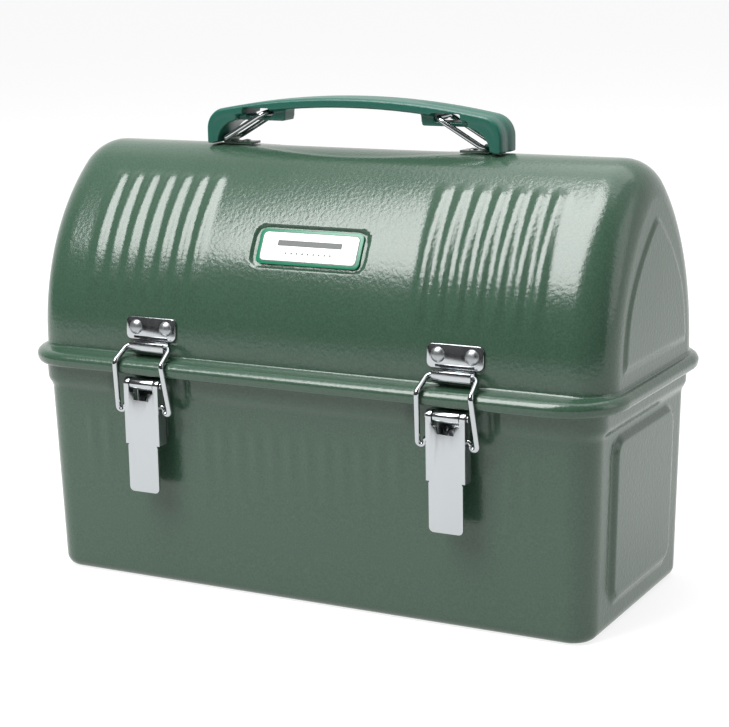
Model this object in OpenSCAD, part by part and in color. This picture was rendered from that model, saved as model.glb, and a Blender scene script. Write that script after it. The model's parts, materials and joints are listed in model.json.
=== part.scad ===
// Dome-lid metal lunch box: a deep tray, a dome lid on two rear hinges, two draw
// latches at the front, a folding carry handle on the dome and a wire bottle bail
// inside it. X runs along the length, the front faces -Y and Z points up.
// The origin is under the middle of the tray, on the surface that it stands on.

/* [Tray] */
// Length of the tray just under its upper band
tray_l = 310.4; // [308:0.2:312]
// Depth of the tray, front to back, just under its upper band
tray_d = 135.6; // [134:0.2:137]
// Height of the tray's rolled edge
tray_h = 115.4; // [115:0.1:115.6]
// Taper of each wall from the top to the floor
tray_draft = 3.0; // [2:0.1:3.4]
// How far the upper band stands out from the wall
band_out = 2.1; // [1.5:0.1:2.2]

/* [Lid] */
// Length of the lid over its rim
rim_l = 330; // [329:0.5:332]
// Depth of the lid over its rim
rim_d = 154.7; // [154:0.1:155]
// Corner radius of the rim, seen from above
rim_r = 31; // [28:1:32]
// Height of the rim's lower edge
rim_low = 112.4; // [112.2:0.1:112.6]
// Length of the dome
dome_l = 320.4; // [319:0.2:321]
// Depth of the dome at its foot
dome_d = 130.6; // [130:0.2:131]
// Height of the top of the dome
dome_top = 223; // [222:0.5:223]
// Radius of the dome's round ends
dome_end_r = 18; // [14:1:20]

/* [Sheet] */
// Thickness of the pressed steel sheet
sheet = 0.9; // [0.8:0.05:1]

/* [Latches] */
// Distance of each latch from the middle
latch_x = 85.4; // [80:0.2:90]
// Width of a lever over its folded sides
lever_w = 20.4; // [19.6:0.2:20.6]
// Length of a lever below its pin
lever_len = 56; // [50:1:58]
// Width of a catch plate
catch_w = 29.5; // [28:0.5:31]
// Wire of the latch loops and of the handle
wire_d = 2.8; // [2.6:0.1:2.8]

/* [Handle] */
// Distance of each handle pivot from the middle
pivot_x = 74.6; // [73.6:0.2:75]
// Length of a handle wire between its two bars
handle_leg = 29.3; // [29:0.1:29.6]
// Angle of a handle wire when the handle is folded
handle_angle = 29.8; // [29:0.2:30.4]
// Width of the grip
grip_w = 19; // [18:0.5:20]

/* [Hinges] */
// Distance of each rear hinge from the middle
hinge_x = 85; // [75:1:95]
// Width of a hinge
hinge_w = 50; // [44:1:56]

/* [Hidden] */

enamel = [0.20, 0.30, 0.24];
steel = [0.78, 0.79, 0.80];
teal = [0.06, 0.40, 0.32];

play = 0.05;                 // radial clearance of every pin in its hole
wire_r = wire_d / 2;
arc_n = 6;                   // facets in a corner of a lofted ring

// tray
tray_a = tray_l / 2;
tray_b = tray_d / 2;
tray_r = 14.7;
tray_top = 112;
tray_taper = tray_draft / tray_top;
wall_lean = -atan(tray_taper);  // the tray's walls face slightly downwards
band_low = 98.5;             // where the wall starts to step out
band_high = 105;             // where the step ends
flange_a = 162;              // half length of the rolled edge that the lid's rim covers
flange_b = 73.4;
flange_r = 26;
pad_half = 20;               // half width of the flat behind each latch, where the band stops
pad_run = 3;                 // length over which the band turns into that flat

// dome section: two side arcs and a top arc that meet in a tangent
side_z = 125;                // the wall is upright below this height
top_r = 35;
top_z = dome_top - top_r;
side_r = side_arc_r(dome_d / 2 - top_r, top_z - side_z);
side_c = side_r - dome_d / 2;
join_a = atan2(top_z - side_z, side_c);
rim_joint = 122;             // where the dome meets the rim
rim_a = rim_l / 2;
rim_b = rim_d / 2;
rim_lean = 0.75;             // how far the rim draws in towards its lower edge

// latches
mount_t = 1.4;               // thickness of a mount's plate
mount_low = 80;
mount_high = 109;
gap = 0.03;                  // between two sheets that lie on each other
pin_y = -74.5;
pin_z = 107.8;
pin_r = 1.3;
barrel_r = 3.2;
loop_y = -74.6;              // the loop's lower bar, in the lever
loop_z = 97;
hook_y = -68.7;              // the loop's upper bar, in the catch plate's hook
hook_z = 126.2;
knee_y = -79.3;              // the loop passes in front of the rim here
knee_z = 119.5;
loop_top = 13;               // half widths of the loop, from its upper bar down
loop_knee = 13.9;
loop_low = 15.6;
loop_drop = 3.6;             // how far the loop's hairpin ends reach below its lower bar
knuckle_w = 13.6;            // width of the mount's knuckle, between the lever's ears
ear_in = 7.3;                // inner side of a lever's ear
notch_z = 103.8;             // the lever's face stops here, below the mount's knuckle
lever_front = pin_y - barrel_r;
lever_t = 1.2;

// hinges
hinge_y = 81;
hinge_z = 116;
hinge_pin_r = 1.5;
knuckle_r = 3;
leaf_t = 1.5;

// plates that lie on the dome's sloping wall lean by these angles
catch_lean = 4.7;
catch_y = -66.2;             // front of a catch plate at its rivets
catch_rivet_z = 135.3;
leaf_lean = 4.3;
leaf_y = 66.46;              // rear of a lid hinge leaf at its rivets
leaf_rivet_z = 134;
base_rivet_z = 83;

// handle
pivot_z = 225.5;
leg_y = 8;
bar_x = pivot_x - handle_leg * cos(handle_angle);
bar_z = pivot_z + handle_leg * sin(handle_angle);
grip_top = 248.6;
grip_end = 84;

// bottle bail, inside the lid
bail_x = 45;
bail_y = 57;
bail_z = 127;
bail_front = -52;
bail_r = 1.5;

// Radius of the side arc that is upright at its foot and tangent to the top arc.
// dy is the foot's distance from the top arc's reach, dz the height between the centres.
function side_arc_r(dy, dz) = (dz * dz + dy * dy) / (2 * dy) + top_r;

// ---------- lofted shells ----------
// One corner of a rounded rectangle, counted anticlockwise from +X +Y
function corner(a, b, r, z, q) = [for (i = [0 : arc_n])
    let (t = q * 90 + i * 90 / arc_n, sx = (q == 0 || q == 3) ? 1 : -1, sy = q < 2 ? 1 : -1)
    [sx * (a - r) + r * cos(t), sy * (b - r) + r * sin(t), z]];

// One ring of a rounded rectangle: half length, half depth, corner radius, height
function ring(a, b, r, z) = [for (q = [0 : 3]) each corner(a, b, r, z, q)];

// The same, with the front drawn back to the half depth pad behind each latch
function padded_ring(a, b, r, z, pad) = concat(corner(a, b, r, z, 0), corner(a, b, r, z, 1),
    corner(a, b, r, z, 2),
    [for (s = [-1, 1]) for (p = [[-pad_half - pad_run, b], [-pad_half, pad], [pad_half, pad],
        [pad_half + pad_run, b]]) [s * latch_x + p[0], -p[1], z]],
    corner(a, b, r, z, 3));

function side_faces(m, n, closed) = [for (k = [0 : (closed ? n - 1 : n - 2)]) for (i = [0 : m - 1])
    let (j = (i + 1) % m, l = (k + 1) % n)
    [k * m + i, l * m + i, l * m + j, k * m + j]];

// A solid through rings from its first end cap to its last
module loft(rings) {
    m = len(rings[0]);
    n = len(rings);
    pts = [for (r = rings) for (p = r) p];
    caps = [[for (i = [0 : m - 1]) i], [for (i = [m - 1 : -1 : 0]) (n - 1) * m + i]];
    polyhedron(points = pts, faces = concat(side_faces(m, n, false), caps), convexity = 8);
}

// A closed band whose section is the list of rings, last joined to first
module band(rings) {
    pts = [for (r = rings) for (p = r) p];
    polyhedron(points = pts, faces = side_faces(len(rings[0]), len(rings), true), convexity = 8);
}

// Half sizes of the tray's wall at a height
function wall_a(z) = tray_a - (tray_top - z) * tray_taper;
function wall_b(z) = tray_b - (tray_top - z) * tray_taper;

// The tray's wall at a height, drawn in by d, with nothing standing out
function wall_ring(z, r, d) = padded_ring(wall_a(z) - d, wall_b(z) - d, r, z, wall_b(z) - d);

// The band at a height, drawn in by d
function band_ring(z, r, d) =
    padded_ring(tray_a + band_out - d, tray_b + band_out - d, r, z, wall_b(z) - d);

module base_shell() color(enamel) loft([
    padded_ring(wall_a(0) - 5, wall_b(0) - 5, 8, 0, wall_b(0) - 5),
    padded_ring(wall_a(2) - 1.6, wall_b(2) - 1.6, 11, 1.7, wall_b(2) - 1.6),
    wall_ring(5.7, 12.5, 0),
    wall_ring(band_low, tray_r, 0),
    band_ring(band_high, tray_r + 2, 0),
    band_ring(112.6, tray_r + 2, 0),
    padded_ring(flange_a, flange_b, flange_r, 114, flange_b),
    padded_ring(flange_a, flange_b, flange_r, tray_h, flange_b),
    band_ring(tray_h, tray_r + 1, sheet),
    band_ring(band_high + 0.5, tray_r + 1, sheet),
    wall_ring(band_low + 0.5, tray_r - 1, sheet),
    wall_ring(6, 11.5, sheet),
    padded_ring(wall_a(2) - 2.4, wall_b(2) - 2.4, 10, 2.4, wall_b(2) - 2.4),
    padded_ring(wall_a(0) - 5.4, wall_b(0) - 5.4, 7.6, sheet, wall_b(0) - 5.4)]);

// Half of the dome's section, front to top, drawn in by d
function half_section(d) = concat(
    [[-(dome_d / 2 - d), rim_joint]],
    [for (i = [0 : 7]) let (t = join_a * i / 7)
        [side_c - (side_r - d) * cos(t), side_z + (side_r - d) * sin(t)]],
    [for (i = [1 : 5]) let (t = join_a + (90 - join_a) * i / 5)
        [-(top_r - d) * cos(t), top_z + (top_r - d) * sin(t)]]);

function mirrored(h) = [for (i = [len(h) - 2 : -1 : 0]) [-h[i][0], h[i][1]]];

function station(x, d, low) = [for (p = concat(half_section(d), mirrored(half_section(d))))
    [x, p[0], p[1] == rim_joint ? low : p[1]]];

// The dome drawn in by t, with its foot at the height low
module dome(t, low) {
    r = dome_end_r - t;
    half = dome_l / 2 - t;
    steps = [for (i = [0 : 5]) 90 * i / 5];
    loft(concat(
        [for (s = steps) station((half - r) + r * cos(s), t + r * (1 - sin(s)), low)],
        [for (i = [5 : -1 : 0]) let (s = steps[i])
            station(-(half - r) - r * cos(s), t + r * (1 - sin(s)), low)]));
}

module lid_shell() color(enamel) union() {
    difference() {
        dome(0, rim_joint);
        dome(sheet, rim_joint - 1);
    }
    edge_a = rim_a - rim_lean;
    edge_b = rim_b - rim_lean;
    edge_r = rim_r - rim_lean;
    foot_a = dome_l / 2;
    foot_b = dome_d / 2;
    foot_r = dome_end_r;
    band([
        ring(foot_a - 0.6, foot_b - 0.6, foot_r - 0.6, rim_joint + 0.6),
        ring(foot_a - sheet, foot_b - sheet, foot_r - sheet, rim_joint),
        ring(foot_a - sheet, foot_b - sheet, foot_r - sheet, 121),
        ring(foot_a - 0.2, foot_b + 2.3, foot_r + 1.6, 120),
        ring(rim_a - 2.3, rim_b - 2.3, rim_r - 2.3, 118.7),
        ring(rim_a - sheet, rim_b - sheet, rim_r - sheet, 117.9),
        ring(edge_a - sheet, edge_b - sheet, edge_r - sheet, rim_low),
        ring(edge_a - 0.4, edge_b - 0.4, edge_r - 0.4, rim_low),
        ring(edge_a, edge_b, edge_r, rim_low + 0.6),
        ring(rim_a, rim_b, rim_r, 118.3),
        ring(rim_a - 1.6, rim_b - 1.6, rim_r - 1.6, 119.7),
        ring(foot_a + 0.8, foot_b + 2.6, foot_r + 2.2, rim_joint - 1.1),
        ring(foot_a, foot_b, foot_r, rim_joint),
        ring(foot_a - 0.3, foot_b - 0.3, foot_r - 0.3, rim_joint + 0.6)]);
}

// ---------- small hardware ----------
// A domed rivet head on the XY plane, pointing along +Z, with its shank below
module rivet(r, h, shank_r, shank) {
    cap_r = (r * r + h * h) / (2 * h);
    half = asin(r / cap_r);
    rotate_extrude($fn = 32)
        polygon(concat([[0, -shank], [shank_r, -shank], [shank_r, 0]],
            [for (i = [0 : 6]) let (t = half * (6 - i) / 6)
                [cap_r * sin(t), h - cap_r + cap_r * cos(t)]]));
}

// The hole that a rivet's shank passes through
module rivet_hole(shank_r) translate([0, 0, -4]) cylinder(r = shank_r + play, h = 6, $fn = 32);

// A wire through the points of a list, with round elbows
module wire(path, r) {
    for (i = [0 : len(path) - 2]) {
        d = path[i + 1] - path[i];
        translate(path[i])
            rotate([0, acos(d[2] / norm(d)), atan2(d[1], d[0])])
                cylinder(r = r, h = norm(d), $fn = 24);
    }
    for (i = [1 : len(path) - 2])
        translate(path[i]) sphere(r = r + 0.005, $fn = 24);
}

// A sleeve along X, centred on x = 0, at y, z
module tube_x(y, z, len, r) translate([-len / 2, y, z]) rotate([0, 90, 0])
    cylinder(r = r, h = len, $fn = 48);

module tube_y(x, z, len, r) translate([x, len / 2, z]) rotate([90, 0, 0])
    cylinder(r = r, h = len, $fn = 48);

// ---------- draw latch, drawn at x = 0 ----------
// Distance of a mount plate's front from the middle of the tray, at a height
function mount_front(z) = wall_b(z) + gap + mount_t;

// Places its children on the plate at both rivets, facing outwards
module at_mount_rivets() for (z = [84.5, 98])
    translate([0, -mount_front(z), z]) rotate([90 - wall_lean, 0, 0]) children();

module latch_mount() color(steel) difference() {
    union() {
        translate([-8, 0, 0]) rotate([90, 0, 90]) linear_extrude(16)
            polygon([[-wall_b(mount_low) - gap, mount_low], [-wall_b(mount_high) - gap, mount_high],
                [-mount_front(mount_high), mount_high], [-mount_front(mount_low), mount_low]]);
        translate([-knuckle_w / 2, pin_y, pin_z - 1])
            cube([knuckle_w, -pin_y - mount_front(pin_z) + 0.7, 2]);
        tube_x(pin_y, pin_z, knuckle_w, 3);
    }
    tube_x(pin_y, pin_z, knuckle_w + 2, pin_r + play);
    at_mount_rivets() rivet_hole(1.4);
}

module latch_mount_rivet_pair() color(steel) at_mount_rivets() rivet(2.6, 1.2, 1.4, 1.2);

module latch_pin() color(steel) union() {
    tube_x(pin_y, pin_z, lever_w + 0.6, pin_r);
    for (s = [-1, 1]) translate([s * (lever_w / 2 + 0.6), pin_y, pin_z]) rotate([0, s * 90, 0])
        translate([0, 0, -0.4]) cylinder(r = 2, h = 0.8, $fn = 32);
}

module latch_lever() color(steel) difference() {
    low = pin_z - 31;        // lower end of the folded sides
    tip = pin_z - lever_len;
    tongue_w = lever_w - 2.6;
    union() {
        translate([-lever_w / 2, lever_front, low]) cube([lever_w, lever_t, notch_z - low]);
        for (s = [0, 1]) mirror([s, 0, 0]) {
            translate([lever_w / 2 - lever_t, lever_front, low]) cube([lever_t, 6.6, pin_z - low]);
            translate([ear_in, lever_front, low]) cube([lever_w / 2 - ear_in, lever_t, pin_z - low]);
            translate([(ear_in + lever_w / 2) / 2, 0, 0])
                tube_x(pin_y, pin_z, lever_w / 2 - ear_in, barrel_r);
        }
        translate([0, lever_front + lever_t, (low + 1 + tip) / 2]) rotate([90, 0, 0])
            rounded_plate(tongue_w, low + 1 - tip, lever_t, 2.5);
    }
    tube_x(pin_y, pin_z, lever_w + 4, pin_r + play);
    tube_x(loop_y, loop_z, lever_w + 4, wire_r + play);
    translate([-4.4, lever_front - 1, notch_z - 4]) cube([8.8, 4, 8]);
}

// Half of a loop: its lower bar, the hairpin beside the lever, the leg past the rim
// and half of its upper bar
function loop_half() = let (in = lever_w / 2 + wire_r + 0.3, low = loop_z - loop_drop)
    [[0, loop_y, loop_z], [in, loop_y, loop_z], [in, loop_y, low], [loop_low, loop_y - 0.6, low],
     [loop_knee, knee_y, knee_z], [loop_top, hook_y, hook_z], [0, hook_y, hook_z]];

module latch_loop() color(steel) {
    half = loop_half();
    other = [for (i = [len(half) - 2 : -1 : 0]) [-half[i][0], half[i][1], half[i][2]]];
    wire(concat(half, other), wire_r);
}

// Places its children on a catch plate at one rivet or both, facing outwards
module at_catch_rivets() for (s = [-1, 1])
    translate([s * 8.9, catch_y, catch_rivet_z]) rotate([90 - catch_lean, 0, 0]) children();

module catch_plate() color(steel) difference() {
    t = 1.2;
    back = -65.5;            // back of the plate at its foot
    foot = 129;
    hook_w = 20.6;
    union() {
        translate([-catch_w / 2, back, foot]) rotate([-catch_lean, 0, 0]) translate([0, -t, 0])
            cube([catch_w, t, 11.6]);
        // the hook: a strip that runs down, out under the loop's bar and up again
        translate([-hook_w / 2, 0, 0]) rotate([90, 0, 90]) linear_extrude(hook_w)
            polygon([[back, 129.6], [back, 123.9], [back - 0.9, 123.2], [hook_y - 1.8, 123.2],
                [hook_y - 2.75, 124.2], [hook_y - 2.75, 128.4], [hook_y - 1.8, 128.4],
                [hook_y - 1.8, 125], [hook_y - 1.3, 124.4], [back - t - 0.3, 124.4],
                [back - t, 124.8], [back - t, 129.6]]);
    }
    at_catch_rivets() rivet_hole(1.8);
}

module catch_rivet_pair() color(steel) at_catch_rivets() rivet(3.75, 1.8, 1.8, 1.1);

// ---------- rear hinge, drawn at x = 0 ----------
// Places its children on a row of three rivets, facing backwards and up by lean
module at_leaf_rivets(y, z, lean) for (s = [-1, 0, 1])
    translate([s * hinge_w * 0.36, y, z]) rotate([lean - 90, 0, 0]) children();

module base_hinge_leaf() color(enamel) difference() {
    knuckle = hinge_w / 2 - 1;
    near = function (z) wall_b(z) + gap;
    union() {
        translate([-hinge_w / 2, 0, 0]) rotate([90, 0, 90]) linear_extrude(hinge_w)
            polygon([[near(76), 76], [near(76) + leaf_t, 76], [near(96) + leaf_t, 96], [near(96), 96]]);
        translate([-knuckle / 2, 0, 0]) rotate([90, 0, 90]) linear_extrude(knuckle)
            polygon([[near(90) + 0.1, 90], [near(90) + leaf_t, 90], [near(94) + leaf_t, 94], [72.4, 99.5],
                [72.4, 109.4], [84, 109.4], [84, hinge_z], [82, hinge_z], [82, 110.9], [70.9, 110.9],
                [70.9, 99.8], [near(95) + 0.1, 95]]);
        tube_x(hinge_y, hinge_z, knuckle, knuckle_r);
    }
    tube_x(hinge_y, hinge_z, knuckle + 2, hinge_pin_r + play);
    at_leaf_rivets(near(base_rivet_z) + leaf_t, base_rivet_z, wall_lean) rivet_hole(1.5);
}

module lid_hinge_leaf() color(enamel) difference() {
    arm = hinge_w / 4;
    union() {
        translate([-hinge_w / 2, 65.75, 123.4]) rotate([leaf_lean, 0, 0]) cube([hinge_w, leaf_t, 20]);
        for (s = [-1, 1]) {
            translate([s * (hinge_w / 2 - arm / 2) - arm / 2, 0, 0]) rotate([90, 0, 90])
                linear_extrude(arm)
                    polygon([[65.9, 123.6], [84, 123.6], [84, hinge_z], [82, hinge_z],
                        [82, 122.1], [67, 122.1], [66.2, 122.6]]);
            translate([s * (hinge_w / 2 - arm / 2), 0, 0])
                tube_x(hinge_y, hinge_z, arm, knuckle_r);
        }
    }
    tube_x(hinge_y, hinge_z, hinge_w + 2, hinge_pin_r + play);
    at_leaf_rivets(leaf_y, leaf_rivet_z, leaf_lean) rivet_hole(1.5);
}

module hinge_pin() color(steel) union() {
    tube_x(hinge_y, hinge_z, hinge_w + 0.6, hinge_pin_r);
    for (s = [-1, 1]) translate([s * (hinge_w / 2 + 0.3), hinge_y, hinge_z]) rotate([0, s * 90, 0])
        cylinder(r = 2.4, h = 1, $fn = 32);
}

module base_rivet_row() color(steel)
    at_leaf_rivets(wall_b(base_rivet_z) + gap + leaf_t, base_rivet_z, wall_lean) rivet(3, 1.4, 1.5, 1.3);

module lid_rivet_row() color(steel)
    at_leaf_rivets(leaf_y, leaf_rivet_z, leaf_lean) rivet(3, 1.4, 1.5, 1.3);

// ---------- badge ----------
// Places its children on the sloping front of the dome, facing outwards
module on_dome_front(z, out) {
    t = asin((z - side_z) / side_r);
    translate([0, side_c - (side_r + out) * cos(t), side_z + (side_r + out) * sin(t)])
        rotate([90 - t, 0, 0]) children();
}

module rounded_plate(w, h, t, r) linear_extrude(t) union() {
    square([w - 2 * r, h], center = true);
    square([w, h - 2 * r], center = true);
    for (x = [-1, 1]) for (y = [-1, 1])
        translate([x * (w / 2 - r), y * (h / 2 - r)]) circle(r = r, $fn = 32);
}

module badge_plate() color([0.12, 0.3, 0.22]) on_dome_front(179.2, 0.4) rounded_plate(58, 18.4, 0.8, 3);

module badge_face() color([0.92, 0.93, 0.92]) on_dome_front(179.2, 1.2) rounded_plate(53.6, 15, 0.4, 2.2);

// ---------- handle, drawn on the +X side ----------
module handle_bracket() color(enamel) difference() {
    union() {
        translate([pivot_x - 15, -4.5, 223.05]) cube([15, 9, 1.2]);
        tube_y(pivot_x, pivot_z, 9, wire_r + 1);
    }
    tube_y(pivot_x, pivot_z, 12, wire_r + play);
    at_bracket_rivet() rivet_hole(1.2);
}

module at_bracket_rivet() translate([pivot_x - 9.6, 0, 224.25]) children();

module handle_bracket_rivet() color(steel) at_bracket_rivet() rivet(2.4, 1, 1.2, 1.1);

module handle_wire() color(steel) wire([[pivot_x, 0, pivot_z], [pivot_x, leg_y, pivot_z],
    [bar_x, leg_y, bar_z], [bar_x, -leg_y, bar_z], [pivot_x, -leg_y, pivot_z],
    [pivot_x, 0, pivot_z]], wire_r);

// Height of the grip's top at a distance from the middle
function grip_z(x) = grip_top - 6 * pow(x / 70, 2);

module handle_grip() color(teal) {
    strap = 5;               // thickness of the strap in the middle
    web_in = 38;             // where the narrower web under the strap starts
    corner = 8;
    top = [for (i = [0 : 12]) let (x = -74 + i * 148 / 12) [x, grip_z(x)]];
    under = [for (i = [12 : -1 : 0]) let (x = -74 + i * 148 / 12) [x, grip_z(x) - strap]];
    difference() {
        union() {
            translate([0, grip_w / 2, 0]) rotate([90, 0, 0]) linear_extrude(grip_w)
                polygon(concat(top, under));
            translate([0, 5, 0]) rotate([90, 0, 0]) linear_extrude(10) for (s = [-1, 1])
                polygon([[s * web_in, 244], [s * (web_in + 1), 235.6], [s * 80, 235.6],
                    [s * 80, 238.5], [s * 70, 240], [s * 46, 244]]);
            translate([0, grip_w / 2, 0]) rotate([90, 0, 0]) linear_extrude(grip_w)
                for (s = [-1, 1])
                    polygon(concat([[s * 72, grip_z(72) - strap], [s * 72, grip_z(72)]],
                        [for (i = [0 : 5]) let (t = 90 - 90 * i / 5)
                            [s * (grip_end - corner + corner * cos(t)),
                             grip_z(74) - corner + corner * sin(t)]],
                        [[s * grip_end, 223.5], [s * (grip_end - 4.6), 223.5],
                         [s * (grip_end - 4.6), 235.6]]));
        }
        // the slots in which the wires' upper bars slide
        for (s = [-1, 1])
            translate([s > 0 ? 46 : -62, -grip_w, 238.1]) cube([16, 2 * grip_w, 4.2]);
    }
}

// ---------- bottle bail, inside the lid ----------
// Places its children on a clip's plate, facing the middle of the lid
module at_clip_rivet() translate([0, 61.8, 135]) rotate([90, 0, 0]) children();

module bail_clips() color(steel) for (s = [-1, 1]) translate([s * 39, 0, 0]) difference() {
    union() {
        translate([-5, 61.8, 123.5]) cube([10, 1.4, 16]);
        translate([-3, bail_y, bail_z - 2.5]) cube([6, 5.5, 5]);
        tube_x(bail_y, bail_z, 6, 2.5);
    }
    tube_x(bail_y, bail_z, 8, bail_r + play);
    at_clip_rivet() rivet_hole(1.2);
}

module bail_clip_rivets() color(steel) for (s = [-1, 1])
    translate([s * 39, 0, 0]) at_clip_rivet() rivet(2.4, 1, 1.2, 1.3);

module bottle_bail() color(steel) wire([[36, bail_y, bail_z], [bail_x, bail_y, bail_z],
    [bail_x, bail_front, bail_z], [-bail_x, bail_front, bail_z], [-bail_x, bail_y, bail_z],
    [-36, bail_y, bail_z]], bail_r);

// A spring tab on the front wall of the lid that the bail snaps over
module bail_catch() color(steel) translate([-8, 0, 0]) rotate([90, 0, 90]) linear_extrude(16)
    polygon([[-63.5, 134], [-63.5, 124], [-60, 121.8], [bail_front - 2.5, 123.4],
        [bail_front - 2.5, 124.6], [-60, 123.1], [-62.3, 124.7], [-62.3, 134]]);

module at_left() translate([-latch_x, 0, 0]) children();
module at_right() translate([latch_x, 0, 0]) children();
module both(x) for (s = [-1, 1]) translate([s * x, 0, 0]) children();

base_shell();
at_left() latch_mount();  // latch_mount_left
at_right() latch_mount();  // latch_mount_right
both(latch_x) latch_mount_rivet_pair();  // latch_mount_rivets
at_left() latch_pin();  // latch_pin_left
at_right() latch_pin();  // latch_pin_right
at_left() latch_lever();  // latch_lever_left
at_right() latch_lever();  // latch_lever_right
at_left() latch_loop();  // latch_loop_left
at_right() latch_loop();  // latch_loop_right
translate([-hinge_x, 0, 0]) base_hinge_leaf();  // base_hinge_leaf_left
translate([hinge_x, 0, 0]) base_hinge_leaf();  // base_hinge_leaf_right
both(hinge_x) base_rivet_row();  // base_hinge_rivets
translate([-hinge_x, 0, 0]) hinge_pin();  // hinge_pin_left
translate([hinge_x, 0, 0]) hinge_pin();  // hinge_pin_right
lid_shell();
translate([-hinge_x, 0, 0]) lid_hinge_leaf();  // lid_hinge_leaf_left
translate([hinge_x, 0, 0]) lid_hinge_leaf();  // lid_hinge_leaf_right
both(hinge_x) lid_rivet_row();  // lid_hinge_rivets
at_left() catch_plate();  // catch_plate_left
at_right() catch_plate();  // catch_plate_right
both(latch_x) catch_rivet_pair();  // catch_rivets
badge_plate();
badge_face();
mirror([1, 0, 0]) handle_bracket();  // handle_bracket_left
handle_bracket();  // handle_bracket_right
for (s = [0, 1]) mirror([s, 0, 0]) handle_bracket_rivet();  // handle_bracket_rivets
handle_grip();
mirror([1, 0, 0]) handle_wire();  // handle_wire_left
handle_wire();  // handle_wire_right
bail_clips();
bail_clip_rivets();
bail_catch();
bottle_bail();
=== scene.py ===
"""Looks for a dome-lid metal lunch box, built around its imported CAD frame."""

import json
import math

import bmesh
import bpy
import numpy as np
from bpy.props import FloatProperty, FloatVectorProperty, IntProperty, PointerProperty
from mathutils import Matrix, Vector


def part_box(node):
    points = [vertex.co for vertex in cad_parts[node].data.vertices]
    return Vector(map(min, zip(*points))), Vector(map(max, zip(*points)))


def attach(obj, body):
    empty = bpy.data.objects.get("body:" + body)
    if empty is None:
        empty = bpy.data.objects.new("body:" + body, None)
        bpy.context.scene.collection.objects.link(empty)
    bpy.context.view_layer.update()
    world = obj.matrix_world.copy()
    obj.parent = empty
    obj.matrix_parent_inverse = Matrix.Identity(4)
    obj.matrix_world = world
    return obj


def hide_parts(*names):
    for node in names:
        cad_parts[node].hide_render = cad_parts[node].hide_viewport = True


bl_info = {
    "name": "Metal Lunch Box",
    "version": (1, 0, 0),
    "blender": (4, 5, 0),
    "location": "View3D > Sidebar > Lunch Box",
    "description": "Builds a pressed-steel lunch box with a dome lid, draw latches and a wire handle",
    "category": "Add Mesh",
}

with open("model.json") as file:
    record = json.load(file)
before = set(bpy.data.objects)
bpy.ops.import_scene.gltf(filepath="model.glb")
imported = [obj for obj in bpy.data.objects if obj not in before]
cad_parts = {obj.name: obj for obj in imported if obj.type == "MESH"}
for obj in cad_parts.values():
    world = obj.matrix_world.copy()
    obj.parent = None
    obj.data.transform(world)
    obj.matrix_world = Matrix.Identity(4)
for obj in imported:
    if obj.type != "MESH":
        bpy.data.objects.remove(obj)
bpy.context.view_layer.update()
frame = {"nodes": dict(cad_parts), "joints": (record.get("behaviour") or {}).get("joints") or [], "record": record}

MM = 0.001
LATCH_SIDES = (("left", -1), ("right", 1))


# ---------------------------------------------------------------- properties

def length(name, description, mm):
    """A length property whose default is given in millimetres."""
    return FloatProperty(name=name, description=description, default=mm * MM, unit="LENGTH",
                         subtype="DISTANCE", precision=5)


def shade(name, description, hex_code):
    """A colour property whose default is an sRGB hex value."""
    return FloatVectorProperty(name=name, description=description, subtype="COLOR", size=3,
                               min=0, max=1, default=linear(hex_code)[:3])


def linear(hex_code):
    """sRGB hex to linear RGBA."""
    values = [int(hex_code[i:i + 2], 16) / 255 for i in (1, 3, 5)]
    return tuple(v / 12.92 if v < 0.04045 else ((v + 0.055) / 1.055) ** 2.4 for v in values) + (1.0,)


class ShellSizes(bpy.types.PropertyGroup):
    """Sizes of the pressed tray and lid."""

    sheet: length("Sheet", "Thickness of the pressed steel", 0.9)
    tray_half_l: length("Tray half length", "Half length of the tray under its band", 155.2)
    tray_half_d: length("Tray half depth", "Half depth of the tray under its band", 67.8)
    tray_corner: length("Tray corner", "Radius of the tray's upright corners", 14.7)
    tray_draft: length("Draft", "Taper of each wall down to the floor", 3.0)
    band_out: length("Band", "How far the upper band stands out", 2.1)
    dome_half_l: length("Dome half length", "Half length of the dome", 160.2)
    dome_half_d: length("Dome half depth", "Half depth of the dome at its foot", 65.3)
    dome_end: length("Dome end", "Radius of the dome's rounded ends", 18)
    dome_top_r: length("Crown", "Radius of the dome's crown", 35)
    rib_pitch: length("Rib pitch", "Distance between two pressed ribs", 9.92)
    rib_height: length("Rib height", "Height of the lid's ribs", 1.0)
    rib_count: IntProperty(name="Ribs", description="Ribs in each group on the lid", default=7, min=1, max=9)


class HardwareSizes(bpy.types.PropertyGroup):
    """Sizes of wires, rivets and edges."""

    wire: length("Wire", "Radius of the latch and handle wire", 1.4)
    bail: length("Bail wire", "Radius of the bottle bail's wire", 1.5)
    edge: length("Edge", "Radius of the edges of stamped parts", 0.22)
    bend: length("Bend", "Inner radius of a wire's bends", 3.4)


class Finishes(bpy.types.PropertyGroup):
    """Colours of the box."""

    enamel: shade("Enamel", "Baked hammered enamel", "#31493A")
    plate: shade("Plated steel", "Bright plated steel", "#B4B8BA")
    grip: shade("Grip", "Moulded plastic of the grip", "#064F41")
    badge: shade("Badge", "Painted rim of the badge", "#0C6B4C")
    face: shade("Badge face", "Painted face of the badge", "#E9ECEB")


# ---------------------------------------------------------------- materials

def node(tree, kind, inputs=(), **settings):
    """Adds a node, sets its fields, then sets or links its inputs from (name, value) pairs."""
    made = tree.nodes.new(kind)
    for key, value in settings.items():
        setattr(made, key, value)
    for name, value in inputs:
        if isinstance(value, bpy.types.NodeSocket):
            tree.links.new(value, made.inputs[name])
        else:
            made.inputs[name].default_value = value
    return made


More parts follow.
